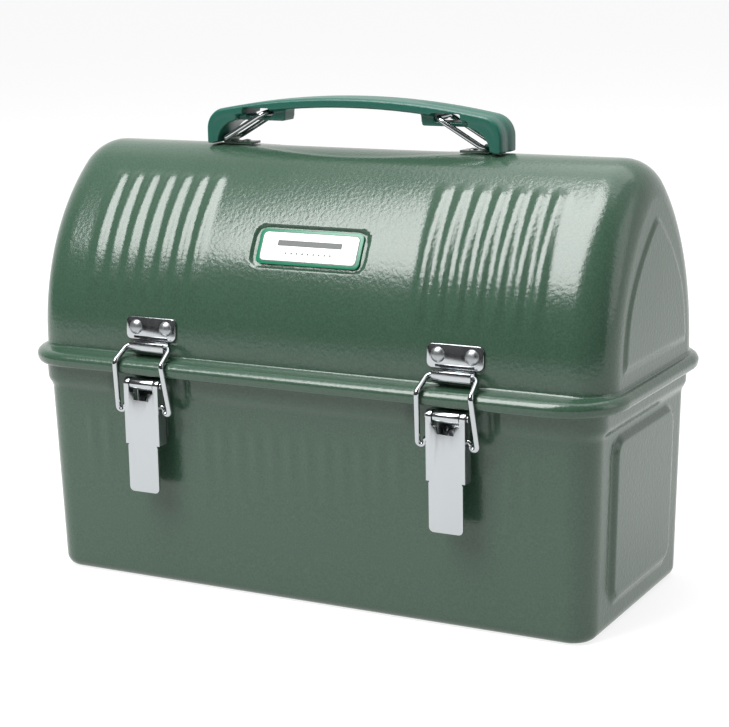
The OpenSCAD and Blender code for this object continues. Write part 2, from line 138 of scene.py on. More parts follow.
def new_material(name):
    """A material with a Principled shader and Object coordinates."""
    made = bpy.data.materials.new(name)
    made.use_nodes = True
    tree = made.node_tree
    shader = tree.nodes["Principled BSDF"]
    where = node(tree, "ShaderNodeTexCoord").outputs["Object"]
    return made, tree, shader, where


def baked_hammer_enamel(colours):
    """Stoved hammer-finish enamel on steel: a glossy skin with an orange-peel of about a
    millimetre, so that reflections break up at their edges, and a fine metallic grain."""
    made, tree, shader, where = new_material("baked_hammer_enamel")
    grain = node(tree, "ShaderNodeTexNoise", [("Vector", where), ("Scale", 1 / (0.9 * MM)), ("Detail", 2)])
    cloud = node(tree, "ShaderNodeTexNoise", [("Vector", where), ("Scale", 1 / (60 * MM)), ("Detail", 1)])
    base = tuple(colours.enamel) + (1,)
    light = tuple(min(1, c * 1.22 + 0.006) for c in colours.enamel) + (1,)
    dark = tuple(c * 0.82 for c in colours.enamel) + (1,)
    ramp = node(tree, "ShaderNodeValToRGB", [("Fac", grain.outputs["Fac"])])
    ramp.color_ramp.elements[0].position = 0.34
    ramp.color_ramp.elements[0].color = dark
    ramp.color_ramp.elements[1].position = 0.68
    ramp.color_ramp.elements[1].color = light
    tint = node(tree, "ShaderNodeMix", [("Factor", 0.45), ("A", ramp.outputs["Color"]), ("B", base)],
                data_type="RGBA")
    tree.links.new(mix_out(tint), shader.inputs["Base Color"])
    rough = node(tree, "ShaderNodeMapRange", [("Value", cloud.outputs["Fac"]), ("From Min", 0.3),
                 ("From Max", 0.7), ("To Min", 0.17), ("To Max", 0.23)])
    tree.links.new(rough.outputs["Result"], shader.inputs["Roughness"])
    peel = node(tree, "ShaderNodeTexNoise", [("Vector", where), ("Scale", 1 / (1.9 * MM)), ("Detail", 3),
                ("Roughness", 0.45)])
    bump = node(tree, "ShaderNodeBump", [("Height", peel.outputs["Fac"]), ("Strength", 0.32),
                ("Distance", 0.35 * MM)])
    tree.links.new(bump.outputs["Normal"], shader.inputs["Normal"])
    shader.inputs["IOR"].default_value = 1.52
    return made


def mix_out(mix):
    """The colour output of a Mix node."""
    return next(s for s in mix.outputs if s.type == "RGBA")


def plated(name, colour, roughness, cell):
    """Nickel-chrome plate on stamped steel: bright and slightly wavy, with faint rolling marks."""
    made, tree, shader, where = new_material(name)
    stretch = node(tree, "ShaderNodeMapping", [("Vector", where), ("Scale", (1, 1, 0.15))])
    marks = node(tree, "ShaderNodeTexNoise", [("Vector", stretch.outputs["Vector"]), ("Scale", 1 / cell),
                 ("Detail", 4)])
    rough = node(tree, "ShaderNodeMapRange", [("Value", marks.outputs["Fac"]), ("From Min", 0.3),
                 ("From Max", 0.7), ("To Min", roughness * 0.8), ("To Max", roughness * 1.25)])
    tree.links.new(rough.outputs["Result"], shader.inputs["Roughness"])
    ramp = node(tree, "ShaderNodeValToRGB", [("Fac", marks.outputs["Fac"])])
    ramp.color_ramp.elements[0].color = tuple(c * 0.93 for c in colour) + (1,)
    ramp.color_ramp.elements[1].color = tuple(colour) + (1,)
    tree.links.new(ramp.outputs["Color"], shader.inputs["Base Color"])
    bump = node(tree, "ShaderNodeBump", [("Height", marks.outputs["Fac"]), ("Strength", 0.06),
                ("Distance", 0.1 * MM)])
    tree.links.new(bump.outputs["Normal"], shader.inputs["Normal"])
    shader.inputs["Metallic"].default_value = 1
    return made


def moulded_grip(colours):
    """Moulded polypropylene: satin, with the spark-eroded grain of its mould."""
    made, tree, shader, where = new_material("moulded_grip_plastic")
    grain = node(tree, "ShaderNodeTexNoise", [("Vector", where), ("Scale", 1 / (0.55 * MM)), ("Detail", 3)])
    ramp = node(tree, "ShaderNodeValToRGB", [("Fac", grain.outputs["Fac"])])
    ramp.color_ramp.elements[0].position = 0.3
    ramp.color_ramp.elements[0].color = tuple(c * 0.84 for c in colours.grip) + (1,)
    ramp.color_ramp.elements[1].position = 0.7
    ramp.color_ramp.elements[1].color = tuple(c * 1.1 for c in colours.grip) + (1,)
    tree.links.new(ramp.outputs["Color"], shader.inputs["Base Color"])
    bump = node(tree, "ShaderNodeBump", [("Height", grain.outputs["Fac"]), ("Strength", 0.22),
                ("Distance", 0.12 * MM)])
    tree.links.new(bump.outputs["Normal"], shader.inputs["Normal"])
    shader.inputs["Roughness"].default_value = 0.38
    return made


def painted(name, colour, roughness):
    """Screen-printed paint on a thin metal badge: even, with a slight tooth."""
    made, tree, shader, where = new_material(name)
    tooth = node(tree, "ShaderNodeTexNoise", [("Vector", where), ("Scale", 1 / (0.4 * MM)), ("Detail", 2)])
    ramp = node(tree, "ShaderNodeValToRGB", [("Fac", tooth.outputs["Fac"])])
    ramp.color_ramp.elements[0].color = tuple(c * 0.93 for c in colour) + (1,)
    ramp.color_ramp.elements[1].color = tuple(min(1, c * 1.03) for c in colour) + (1,)
    tree.links.new(ramp.outputs["Color"], shader.inputs["Base Color"])
    bump = node(tree, "ShaderNodeBump", [("Height", tooth.outputs["Fac"]), ("Strength", 0.05),
                ("Distance", 0.05 * MM)])
    tree.links.new(bump.outputs["Normal"], shader.inputs["Normal"])
    shader.inputs["Roughness"].default_value = roughness
    return made


def material(name):
    """The box's materials by name, each made once."""
    if name in bpy.data.materials:
        return bpy.data.materials[name]
    colours = bpy.context.scene.lunch_finishes
    rivet = tuple(c * 0.8 for c in colours.plate)
    makers = {
        "baked_hammer_enamel": lambda: baked_hammer_enamel(colours),
        "bright_plate": lambda: plated(name, colours.plate, 0.16, 2.5 * MM),
        "drawn_wire": lambda: plated(name, colours.plate, 0.1, 4 * MM),
        "satin_rivet": lambda: plated(name, rivet, 0.34, 1.2 * MM),
        "moulded_grip_plastic": lambda: moulded_grip(colours),
        "badge_paint": lambda: painted(name, colours.badge, 0.3),
        "badge_face_paint": lambda: painted(name, colours.face, 0.32),
        "badge_ink": lambda: painted(name, linear("#3B403E")[:3], 0.4),
    }
    return makers[name]()


# ---------------------------------------------------------------- mesh helpers

def smooth(low, high, value):
    """0 below low, 1 above high, with a smooth rise between."""
    t = np.clip((value - low) / (high - low), 0, 1)
    return t * t * (3 - 2 * t)


def bump_across(distance, half):
    """A rounded ridge of unit height and the given half width."""
    t = np.clip(np.abs(distance) / half, 0, 1)
    return np.cos(t * math.pi / 2) ** 2


def rounded_box(u, v, half_u, half_v, radius):
    """Signed distance to a rounded rectangle, negative inside."""
    du = np.abs(u) - half_u + radius
    dv = np.abs(v) - half_v + radius
    return np.hypot(np.maximum(du, 0), np.maximum(dv, 0)) + np.minimum(np.maximum(du, dv), 0) - radius


def make_object(name, verts, faces, material_name, angle=40):
    """A mesh object at the origin, merged, with outward normals and smooth faces."""
    mesh = bpy.data.meshes.new(name)
    mesh.from_pydata([tuple(v) for v in verts], [], faces)
    work = bmesh.new()
    work.from_mesh(mesh)
    bmesh.ops.remove_doubles(work, verts=work.verts, dist=0.004 * MM)
    bmesh.ops.dissolve_degenerate(work, edges=work.edges, dist=0.001 * MM)
    bmesh.ops.recalc_face_normals(work, faces=work.faces)
    work.to_mesh(mesh)
    work.free()
    mesh.shade_smooth()
    mesh.set_sharp_from_angle(angle=math.radians(angle))
    made = bpy.data.objects.new(name, mesh)
    bpy.context.scene.collection.objects.link(made)
    made.data.materials.append(material(material_name))
    return made


def baked(made):
    """Replaces a live object by a plain mesh object with its modifiers applied."""
    graph = bpy.context.evaluated_depsgraph_get()
    mesh = bpy.data.meshes.new_from_object(made.evaluated_get(graph))
    made.modifiers.clear()
    made.data = mesh
    return made


def finish_piece(made, body, slot, *nodes):
    """Rides a piece on its body and hides the CAD nodes that it stands for."""
    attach(made, body)
    if nodes:
        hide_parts(*nodes)
    return made


def body_of(node_name):
    """The CAD body that a node belongs to."""
    bodies = frame["record"]["behaviour"]["bodies"]
    return next(body for body, members in bodies.items() if node_name in members)


def soften(node_name, material_name, slot, width=None):
    """A copy of a CAD node with the small edge radius of a stamped or moulded part."""
    mesh = frame["nodes"][node_name].data.copy()
    mesh.name = node_name + "_finished"
    work = bmesh.new()
    work.from_mesh(mesh)
    bmesh.ops.remove_doubles(work, verts=work.verts, dist=0.003 * MM)
    bmesh.ops.dissolve_limit(work, angle_limit=math.radians(1.5), verts=work.verts, edges=work.edges)
    work.to_mesh(mesh)
    work.free()
    made = bpy.data.objects.new(node_name + "_finished", mesh)
    bpy.context.scene.collection.objects.link(made)
    edged(made, width or bpy.context.scene.lunch_hardware.edge, 35)
    made.data.materials.clear()
    made.data.materials.append(material(material_name))
    return finish_piece(made, body_of(node_name), slot, node_name)


def edged(made, width, angle=40):
    """Rounds the edges sharper than an angle and leaves a plain mesh."""
    bevel = made.modifiers.new("edge", "BEVEL")
    bevel.width = width
    bevel.segments = 2
    bevel.limit_method = "ANGLE"
    bevel.angle_limit = math.radians(angle)
    baked(made)
    made.data.shade_smooth()
    made.data.set_sharp_from_angle(angle=math.radians(50))
    return made


def rounded_path(points, radius, steps=6):
    """A 2-D path with an arc of the given radius in place of each inner corner."""
    points = [np.array(p, float) for p in points]
    out = [points[0]]
    for before, corner, after in zip(points, points[1:], points[2:]):
        into = (before - corner) / np.linalg.norm(before - corner)
        away = (after - corner) / np.linalg.norm(after - corner)
        half = math.acos(float(np.clip(into @ away, -1, 1))) / 2
        reach = radius / math.tan(half)
        centre = corner + (into + away) / np.linalg.norm(into + away) * radius / math.sin(half)
        start, stop = corner + into * reach - centre, corner + away * reach - centre
        for t in np.linspace(0, 1, steps):
            blend = start * (1 - t) + stop * t
            out.append(centre + blend / np.linalg.norm(blend) * radius)
    return np.array(out + [points[-1]])


def strip_outline(path, thickness):
    """The outline of a bent strip of sheet, from its middle line."""
    turn = np.gradient(path, axis=0)
    turn /= np.linalg.norm(turn, axis=1)[:, None]
    side = np.stack([-turn[:, 1], turn[:, 0]], axis=1) * thickness / 2
    return np.concatenate([path + side, (path - side)[::-1]])


def prism(outline, low, high, place):
    """A closed prism on an outline of (u, v) points between two depths; place(u, v, d) gives its points."""
    verts = [place(u, v, low) for u, v in outline] + [place(u, v, high) for u, v in outline]
    n = len(outline)
    faces = [(i, (i + 1) % n, n + (i + 1) % n, n + i) for i in range(n)]
    return verts, faces + [tuple(range(n))[::-1], tuple(range(n, 2 * n))]


def rounded_rectangle(width, height, radius, steps=6):
    """Outline points of a rounded rectangle round the origin."""
    out = []
    for quarter, (su, sv) in enumerate(((1, 1), (-1, 1), (-1, -1), (1, -1))):
        for t in np.linspace(quarter, quarter + 1, steps) * math.pi / 2:
            out.append((su * (width / 2 - radius) + radius * math.cos(t),
                        sv * (height / 2 - radius) + radius * math.sin(t)))
    return out


def joined(parts):
    """One list of vertices and faces from several closed parts."""
    verts, faces = [], []
    for part_verts, part_faces in parts:
        faces += [tuple(i + len(verts) for i in face) for face in part_faces]
        verts += list(part_verts)
    return verts, faces


# ---------------------------------------------------------------- outlines of the shells

class Outline:
    """A closed rounded rectangle seen from above, sampled once and drawn at any size."""

    def __init__(self, front, end, corner):
        """front, end: places from -1 to 1 along a side; corner: steps in a corner."""
        parts = []
        turns = np.linspace(0, math.pi / 2, corner + 1)[1:-1]
        for quarter, stops in enumerate((front, end, front, end)):
            angle = -math.pi / 2 + quarter * math.pi / 2
            along = np.array([math.cos(angle + math.pi / 2), math.sin(angle + math.pi / 2)])
            out = np.array([math.cos(angle), math.sin(angle)])
            for t in stops:
                parts.append((*(out + along * t), angle))
            for turn in turns:
                parts.append((*(out + along), angle + turn))
        table = np.array(parts)
        self.cx = np.clip(table[:, 0], -1, 1)
        self.cy = np.clip(table[:, 1], -1, 1)
        self.nx = np.cos(table[:, 2])
        self.ny = np.sin(table[:, 2])

    def ring(self, a, b, r, z, out=0.0):
        """Points of the outline with half sizes a, b and corner r at a height."""
        r = max(r, 0.2 * MM)
        x = self.cx * (a - r) + r * self.nx + out * self.nx
        y = self.cy * (b - r) + r * self.ny + out * self.ny
        return np.stack([x, y, np.full_like(x, z)], axis=1)


def ring_faces(rows, count, first=0):
    """Quads between successive closed rings."""
    faces = []
    for k in range(rows - 1):
        a = first + k * count
        b = a + count
        faces += [(a + i, a + (i + 1) % count, b + (i + 1) % count, b + i) for i in range(count)]
    return faces


# ---------------------------------------------------------------- tray

TRAY_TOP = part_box("base_shell")[1].z
FLANGE_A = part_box("base_shell")[1].x
FLANGE_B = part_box("base_shell")[1].y
FLANGE_R = 26 * MM
BAND_LOW = 98.5 * MM
BAND_HIGH = 104.5 * MM
BAND_TOP = 112 * MM
FLOOR_BEND = 5.7 * MM
PAD_HALF = 20 * MM
TRAY_RIB_TOP = 91 * MM
TRAY_RIB_LOW = 42 * MM
TRAY_RIB_HEIGHT = 0.6 * MM
TRAY_RIB_HALF = 4.4 * MM
TRAY_RIBS_INSIDE = 6
TRAY_RIBS_OUTSIDE = (11, 12)
PANEL_MIDDLE = 55 * MM
PANEL_HALF_W = 40.5 * MM
PANEL_HALF_H = 41 * MM
PANEL_CORNER = 9 * MM
PANEL_OUT = 2.3 * MM


def latch_places():
    """X of each latch, from the CAD levers."""
    return [(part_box(f"latch_lever_{side}")[0].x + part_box(f"latch_lever_{side}")[1].x) / 2
            for side, _ in LATCH_SIDES]


def tray_rib_places(pitch):
    """X of the tray's shallow ribs: twelve between the latches and two beyond each."""
    inner = [sign * (k + 0.5) * pitch for sign in (-1, 1) for k in range(TRAY_RIBS_INSIDE)]
    outer = [sign * (k + 0.5) * pitch for sign in (-1, 1) for k in TRAY_RIBS_OUTSIDE]
    return inner + outer


def tray_relief(sizes, points, outline, height):
    """How far the tray's wall stands out of its plain face, pressed features included."""
    x = points[:, 0]
    y = points[:, 1]
    front = outline.ny < -0.5
    long_side = np.abs(outline.ny) > 0.98
    pad = sum(1 - smooth(PAD_HALF, PAD_HALF + 5 * MM, np.abs(x - place)) for place in latch_places())
    lift = smooth(BAND_LOW, BAND_HIGH, height) * sizes.band_out * np.where(front, 1 - pad, 1)
    fade = smooth(TRAY_RIB_LOW, TRAY_RIB_TOP - 4 * MM, height)
    fade *= 1 - smooth(TRAY_RIB_TOP - 9 * MM, TRAY_RIB_TOP + 1.5 * MM, height)
    for place in tray_rib_places(sizes.rib_pitch):
        rib = TRAY_RIB_HEIGHT * fade * bump_across(x - place, TRAY_RIB_HALF)
        lift += np.where(long_side, rib, 0)
    panel = rounded_box(y, np.full_like(y, height - PANEL_MIDDLE), PANEL_HALF_W, PANEL_HALF_H, PANEL_CORNER)
    raised = PANEL_OUT * (1 - smooth(-2.4 * MM, 0.8 * MM, panel))
    return lift + np.where(np.abs(outline.nx) > 0.98, raised, 0)


def tray_ring(sizes, outline, height, inwards):
    """One ring of the tray's wall at a height, drawn in by a distance."""
    taper = sizes.tray_draft / BAND_TOP * (BAND_TOP - max(height, FLOOR_BEND))
    a = sizes.tray_half_l - taper
    b = sizes.tray_half_d - taper
    r = sizes.tray_corner - 0.6 * taper
    points = outline.ring(a, b, r, height)
    out = tray_relief(sizes, points, outline, height) - inwards
    points[:, 0] += out * outline.nx
    points[:, 1] += out * outline.ny
    return points


class LUNCHBOX_OT_tray(bpy.types.Operator):
    """Build the deep pressed tray with its band, ribs, end panels and rolled edge"""

    bl_idname = "lunchbox.tray"
    bl_label = "Tray"

    def execute(self, context):
        sizes = context.scene.lunch_shell
        outline = Outline(np.linspace(-1, 1, 186), np.linspace(-1, 1, 84), 12)
        count = len(outline.cx)
        rows = []
        for turn in np.linspace(0, math.pi / 2, 8):
            inwards = FLOOR_BEND * (1 - math.sin(turn))
            rows.append(tray_ring(sizes, outline, FLOOR_BEND * (1 - math.cos(turn)), inwards))
        steps = np.concatenate([np.linspace(7.5 * MM, 84 * MM, 40), np.linspace(85 * MM, BAND_TOP, 28)])
        rows += [tray_ring(sizes, outline, z, 0) for z in steps]
        flange = ((-0.9, 113.6), (0, 114.2), (0, 114.9), (-0.5, TRAY_TOP / MM))
        rows += [outline.ring(FLANGE_A + d * MM, FLANGE_B + d * MM, FLANGE_R, z * MM) for d, z in flange]
        inner = [TRAY_TOP, BAND_TOP, 108 * MM, BAND_HIGH, 102 * MM, 100 * MM, BAND_LOW]
        inner += list(np.linspace(95 * MM, FLOOR_BEND, 26))
        rows += [tray_ring(sizes, outline, z, sizes.sheet) for z in inner]
        for turn in np.linspace(math.pi / 2, 0, 6)[1:]:
            inwards = sizes.sheet + (FLOOR_BEND - sizes.sheet) * (1 - math.sin(turn))
            height = sizes.sheet + (FLOOR_BEND - sizes.sheet) * (1 - math.cos(turn))
            rows.append(tray_ring(sizes, outline, height, inwards))
        faces = ring_faces(len(rows), count)
        last = (len(rows) - 1) * count
        faces.append(tuple(reversed(range(count))))
        faces.append(tuple(range(last, last + count)))
        made = make_object("tray_pressing", np.concatenate(rows), faces, "baked_hammer_enamel")
        finish_piece(made, "base", "enamel_green", "base_shell")
        return {"FINISHED"}


# ---------------------------------------------------------------- lid

RIM_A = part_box("lid_shell")[1].x
RIM_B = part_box("lid_shell")[1].y
RIM_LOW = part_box("lid_shell")[0].z
DOME_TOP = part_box("lid_shell")[1].z
RIM_CORNER = 31 * MM
RIM_LEAN = 0.75 * MM
RIM_TOP = 119.9 * MM
RIM_SHOULDER = 4 * MM
FOOT = 122 * MM
SIDE_FOOT = 125 * MM
FOOT_BEND = 1.5 * MM
RIB_LOW = 144 * MM
RIB_HIGH = 209.5 * MM
RIB_FIRST = 64 * MM
BADGE_Z = 179.2 * MM
POCKET_HALF_W = 32.3 * MM
POCKET_HALF_H = 11.4 * MM
POCKET_CORNER = 6 * MM
POCKET_DEPTH = 1.3 * MM
HOLLOW_HALF_L = 76 * MM
HOLLOW_HALF_W = 15 * MM
HOLLOW_DEPTH = 0.5 * MM
ARCH_OUT = 1.1 * MM
ARCH_LOW = 129 * MM


class DomeSection:
    """The dome's cross-section: an upright foot, two side arcs and a crown that meet smoothly."""

    def __init__(self, sizes):
        self.crown_r = sizes.dome_top_r
        self.crown_z = DOME_TOP - self.crown_r
        rise = self.crown_z - SIDE_FOOT
        reach = sizes.dome_half_d - self.crown_r
        self.side_r = (rise * rise + reach * reach) / (2 * reach) + self.crown_r
        self.side_y = self.side_r - sizes.dome_half_d
        self.join = math.atan2(rise, self.side_y)

    def front_half(self, side_steps, crown_steps):
        """Points and outward normals from the foot up to the crown, on the -Y side."""
        table = [(-(self.side_r - self.side_y), FOOT, -1, 0)]
        edges = [self.angle_at(BADGE_Z + d) for d in np.linspace(-11.5 * MM, 11.5 * MM, 33)]
        crisp = [t for k, t in enumerate(edges) if k < 6 or k > 26]
        for t in sorted([*np.linspace(0, self.join, side_steps), *crisp]):
            c, s = math.cos(t), math.sin(t)
            table.append((self.side_y - self.side_r * c, SIDE_FOOT + self.side_r * s, -c, s))
        for t in np.linspace(self.join, math.pi / 2, crown_steps + 1)[1:]:
            c, s = math.cos(t), math.sin(t)
            table.append((-self.crown_r * c, self.crown_z + self.crown_r * s, -c, s))
        return np.array(table)

    def angle_at(self, z):
        """Angle of the side arc at a height."""
        return math.asin((z - SIDE_FOOT) / self.side_r)

    def depth(self, y, z):
        """Distance of a point inside the section from the section's outline."""
        side = self.side_r - np.hypot(np.abs(y) + self.side_y, z - SIDE_FOOT)
        crown = self.crown_r - np.hypot(y, z - self.crown_z)
        above = np.arctan2(z - self.crown_z, np.abs(y)) > self.join
        return np.where(above, crown, side)

    def along(self, z):
        """Length along the side arc from its foot to a height."""
        return self.side_r * np.arcsin(np.clip((z - SIDE_FOOT) / self.side_r, -1, 1))


def lid_relief(sizes, section, x, y, z):
    """Pressed features of the dome's long sides and crown, outwards positive."""
    run = section.along(z)
    lift = np.zeros_like(x)
    side = z < section.crown_z + 24 * MM
    low, high = section.along(np.array([RIB_LOW, RIB_HIGH]))
    for sign in (-1, 1):
        for k in range(sizes.rib_count):
            place = sign * (RIB_FIRST + k * sizes.rib_pitch)
            away = np.hypot(x - place, np.maximum(run - high + 3 * MM, 0))
            start = smooth(low - 2 * MM, low + 14 * MM, run)
            lift += np.where(side, sizes.rib_height * start * bump_across(away, sizes.rib_pitch / 2), 0)
    middle = section.along(np.array([BADGE_Z]))[0]
    pocket = rounded_box(x, run - middle, POCKET_HALF_W, POCKET_HALF_H, POCKET_CORNER)
    lift -= np.where((y < 0) & side, POCKET_DEPTH * (1 - smooth(-1.0 * MM, 0.4 * MM, pocket)), 0)
    lens = np.clip(1 - (x / HOLLOW_HALF_L) ** 2, 0, 1)
    reach = np.abs(y) - HOLLOW_HALF_W * lens
    hollow = HOLLOW_DEPTH * np.sqrt(lens)
    lift -= np.where(z > section.crown_z, hollow * (1 - smooth(-2.5 * MM, 0.3 * MM, reach)), 0)
    return lift


def pocket_ends(flat):
    """Extra places along the dome that keep the badge pocket's ends crisp."""
    near = np.linspace(29.5 * MM, 33.5 * MM, 7) / flat
    return np.concatenate([-near, near])


class LUNCHBOX_OT_lid(bpy.types.Operator):
    """Build the dome lid with its ribs, end arches, badge pocket, finger hollow and rim"""

    bl_idname = "lunchbox.lid"
    bl_label = "Lid"

    def execute(self, context):
        sizes = context.scene.lunch_shell
        section = DomeSection(sizes)
        half = section.front_half(52, 17)
        back = half[-2::-1] * np.array([-1, 1, -1, 1])
        full = np.concatenate([half, back])
        flat = sizes.dome_half_l - sizes.dome_end
        stops = np.union1d(np.linspace(-1, 1, 150), pocket_ends(flat))
        turns = np.linspace(0, math.pi / 2, 10)[1:]
        stations = [(t * flat, 0.0) for t in stops]
        stations = [(-(flat + sizes.dome_end * math.sin(t)), -t) for t in turns[::-1]] + stations
        stations += [(flat + sizes.dome_end * math.sin(t), t) for t in turns]
        columns = np.linspace(-1, 1, 66)
        outline = Outline(stops, columns, len(turns))
        verts, faces = self.dome(sizes, section, full, stations)
        self.end_walls(sizes, section, half, columns, verts, faces)
        first = sum(len(v) for v in verts)
        rings = [outline.ring(*p) for p in self.rim(sizes)]
        verts += rings
        faces += ring_faces(len(rings), len(outline.cx), first)
        made = make_object("lid_pressing", np.concatenate(verts), faces, "baked_hammer_enamel")
        wall = made.modifiers.new("sheet", "SOLIDIFY")
        wall.thickness = sizes.sheet
        wall.offset = -1
        wall.use_even_offset = False
        baked(made)
        finish_piece(made, "lid", "enamel_green", "lid_shell")
        return {"FINISHED"}

    def dome(self, sizes, section, full, stations):
        """The dome's skin, one section of it at each (x, turn) station."""
        verts, faces = [], []
        for x, turn in stations:
            drawn = sizes.dome_end * (1 - math.cos(turn))
            y = full[:, 0] - drawn * full[:, 2]
            z = full[:, 1] - drawn * full[:, 3]
            lift = lid_relief(sizes, section, np.full_like(y, x), y, z) * math.cos(turn)
            xs = x + lift * math.sin(turn)
            ys = y + lift * math.cos(turn) * full[:, 2]
            zs = z + lift * math.cos(turn) * full[:, 3]
            verts.append(np.stack([xs, ys, zs], axis=1))
        n = len(full)
        for k in range(len(stations) - 1):
            faces += [(k * n + i, (k + 1) * n + i, (k + 1) * n + i + 1, k * n + i + 1) for i in range(n - 1)]
        return verts, faces

    def end_walls(self, sizes, section, half, columns, verts, faces):
        """Both flat ends of the dome, each with its raised arch."""
        m = len(columns)
        for sign in (-1, 1):
            first = sum(len(v) for v in verts)
            for row in half:
                y = -columns * (row[0] - sizes.dome_end * row[2])
                z = np.full_like(y, row[1] - sizes.dome_end * row[3])
                border = 22.5 * MM + 5.5 * MM * smooth(150 * MM, 196 * MM, z)
                inside = np.minimum(section.depth(y, z) - border, z - ARCH_LOW)
                lift = ARCH_OUT * smooth(-0.5 * MM, 1.9 * MM, inside)
                verts.append(np.stack([sign * (sizes.dome_half_l + lift), y, z], axis=1))
            for k in range(len(half) - 1):
                a = first + k * m
                b = a + m
                faces += [(a + i, a + i + 1, b + i + 1, b + i) for i in range(m - 1)]

    def rim(self, sizes):
        """Half sizes, corner and height of each ring of the foot's bend, the shoulder and the rim."""
        a, b, r = sizes.dome_half_l, sizes.dome_half_d, sizes.dome_end
        profile = [(a, b, r, FOOT)]
        for t in np.linspace(0, math.pi / 2, 5)[1:]:
            out = FOOT_BEND * (1 - math.cos(t))
            profile.append((a + out * 0.6, b + out, r + out, FOOT - FOOT_BEND * math.sin(t)))
        side = RIM_TOP - RIM_SHOULDER
        curl = RIM_LOW + 1.6 * MM
        steps = [(RIM_SHOULDER * (1 - math.sin(t)), RIM_TOP - RIM_SHOULDER * (1 - math.cos(t)))
                 for t in np.linspace(math.radians(5), math.pi / 2, 9)]
        steps += [(RIM_LEAN * (side - z) / (side - RIM_LOW), z)
                  for z in np.linspace(side - 0.6 * MM, curl, 4)]
        steps += [(RIM_LEAN + 1.2 * MM * (1 - math.cos(t)) - 0.1 * MM, curl - 1.5 * MM * math.sin(t))
                  for t in np.linspace(0, math.pi / 2, 5)[1:]]
        return profile + [(RIM_A - d, RIM_B - d, RIM_CORNER - d, z) for d, z in steps]


# ---------------------------------------------------------------- geometry nodes

def group_input(tree, name, kind, default):
    """Adds a named input to a geometry group and returns its identifier."""
    item = tree.interface.new_socket(name=name, in_out="INPUT", socket_type=kind)
    if default is not None:
        item.default_value = default
    return item.identifier


def new_group(name):
    """A geometry group with a geometry input and output."""
    tree = bpy.data.node_groups.new(name, "GeometryNodeTree")
    tree.interface.new_socket(name="Geometry", in_out="INPUT", socket_type="NodeSocketGeometry")
    tree.interface.new_socket(name="Geometry", in_out="OUTPUT", socket_type="NodeSocketGeometry")
    return tree


def bent_wire_group():
    """Round wire along a path of straight runs, with a bend of the same radius at each corner."""
    if "bent_wire" in bpy.data.node_groups:
        return bpy.data.node_groups["bent_wire"]
    tree = new_group("bent_wire")
    group_input(tree, "Wire radius", "NodeSocketFloat", 1.4 * MM)
    group_input(tree, "Bend radius", "NodeSocketFloat", 3 * MM)
    group_input(tree, "Material", "NodeSocketMaterial", None)
    given = node(tree, "NodeGroupInput")
    path = node(tree, "GeometryNodeMeshToCurve", [("Mesh", given.outputs["Geometry"])])
    bends = node(tree, "GeometryNodeFilletCurve", [("Curve", path.outputs["Curve"])])
    if hasattr(bends, "mode"):
        bends.mode = "POLY"
    tree.links.new(given.outputs["Bend radius"], bends.inputs["Radius"])
    bends.inputs["Count"].default_value = 9
    bends.inputs["Limit Radius"].default_value = True
    section = node(tree, "GeometryNodeCurvePrimitiveCircle", [("Resolution", 20),
                   ("Radius", given.outputs["Wire radius"])])
    swept = node(tree, "GeometryNodeCurveToMesh", [("Curve", bends.outputs["Curve"]),
                 ("Profile Curve", section.outputs["Curve"]), ("Fill Caps", True)])
    soft = node(tree, "GeometryNodeSetShadeSmooth", [("Geometry", swept.outputs["Mesh"])])
    real = node(tree, "GeometryNodeRealizeInstances", [("Geometry", soft.outputs["Geometry"])])
    done = node(tree, "GeometryNodeSetMaterial", [("Geometry", real.outputs["Geometry"]),
                ("Material", given.outputs["Material"])])
    node(tree, "NodeGroupOutput", [("Geometry", done.outputs["Geometry"])])
    return tree


def rivet_group():
    """A domed rivet head on each point of a mesh, all facing one way."""
    if "rivet_heads" in bpy.data.node_groups:
        return bpy.data.node_groups["rivet_heads"]
    tree = new_group("rivet_heads")
    group_input(tree, "Head radius", "NodeSocketFloat", 3 * MM)
    group_input(tree, "Head height", "NodeSocketFloat", 1.4 * MM)
    group_input(tree, "Facing", "NodeSocketVector", (0, -1, 0))
    group_input(tree, "Material", "NodeSocketMaterial", None)
    given = node(tree, "NodeGroupInput")
    ball = node(tree, "GeometryNodeMeshUVSphere", [("Segments", 32), ("Rings", 20), ("Radius", 1.0)])
    scale = node(tree, "ShaderNodeCombineXYZ", [("X", given.outputs["Head radius"]),
                 ("Y", given.outputs["Head radius"]), ("Z", given.outputs["Head height"])])
    head = node(tree, "GeometryNodeTransform", [("Geometry", ball.outputs["Mesh"]),
                ("Scale", scale.outputs["Vector"])])
    turn = node(tree, "FunctionNodeAlignRotationToVector", [("Vector", given.outputs["Facing"])], axis="Z")
    spread = node(tree, "GeometryNodeInstanceOnPoints", [("Points", given.outputs["Geometry"]),
                  ("Instance", head.outputs["Geometry"]), ("Rotation", turn.outputs["Rotation"])])
    soft = node(tree, "GeometryNodeSetShadeSmooth", [("Geometry", spread.outputs["Instances"])])
    real = node(tree, "GeometryNodeRealizeInstances", [("Geometry", soft.outputs["Geometry"])])
    done = node(tree, "GeometryNodeSetMaterial", [("Geometry", real.outputs["Geometry"]),
                ("Material", given.outputs["Material"])])
    node(tree, "NodeGroupOutput", [("Geometry", done.outputs["Geometry"])])
    return tree


def run_group(name, tree, verts, edges, values):
    """Runs a geometry group on points or a path and returns the finished mesh object."""
    mesh = bpy.data.meshes.new(name)
    mesh.from_pydata([tuple(v) for v in verts], edges, [])
    made = bpy.data.objects.new(name, mesh)
    bpy.context.scene.collection.objects.link(made)
    live = made.modifiers.new(tree.name, "NODES")
    live.node_group = tree
    for item in tree.interface.items_tree:
        if item.in_out == "INPUT" and item.name in values:
            live[item.identifier] = values[item.name]
    return baked(made)


